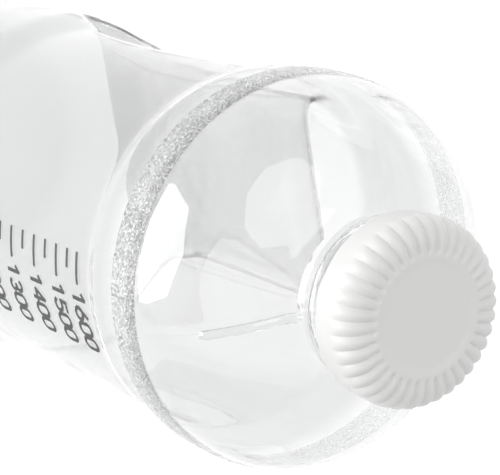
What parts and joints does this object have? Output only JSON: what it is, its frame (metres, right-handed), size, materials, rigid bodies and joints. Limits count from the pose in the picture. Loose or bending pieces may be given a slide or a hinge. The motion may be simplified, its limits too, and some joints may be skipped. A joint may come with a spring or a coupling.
{
  "type": "sports water jug",
  "caption": "Large clear blow-moulded drinking jug with a moulded-in hollow grip, a stippled band, a rounded shoulder and a white fluted screw cap.",
  "frame": {"origin": "middle of the base, on the ground plane that the standing ring touches", "axes": "+Z along the bottle axis towards the cap, the plain front panel faces -Y, the hollow grip is at +Y and its finger gap runs along X"},
  "size_m": [0.117, 0.117, 0.2868],
  "materials": {
    "clear_plastic": "gloss",
    "white_plastic": "satin",
    "seal": "matte"
  },
  "bodies": {
    "bottle": {"lower_body": "clear_plastic", "grip_body": "clear_plastic", "shoulder": "clear_plastic", "neck": "clear_plastic"},
    "liner": {"cap_liner": "seal"},
    "cap": {"cap": "white_plastic"}
  },
  "joints": [
    {"name": "cap_lift", "type": "slide", "parent": "bottle", "child": "liner", "axis": [0, 0, 1], "range_m": [0, 0.012]},
    {"name": "cap_turn", "type": "hinge", "parent": "liner", "child": "cap", "pos_m": [0, 0, 0.28], "axis": [0, 0, 1], "range_deg": [0, 720]}
  ],
  "couplings": [
    {"joint": "cap_lift", "follows": "cap_turn", "m_per_rad": 0.00095493}
  ]
}
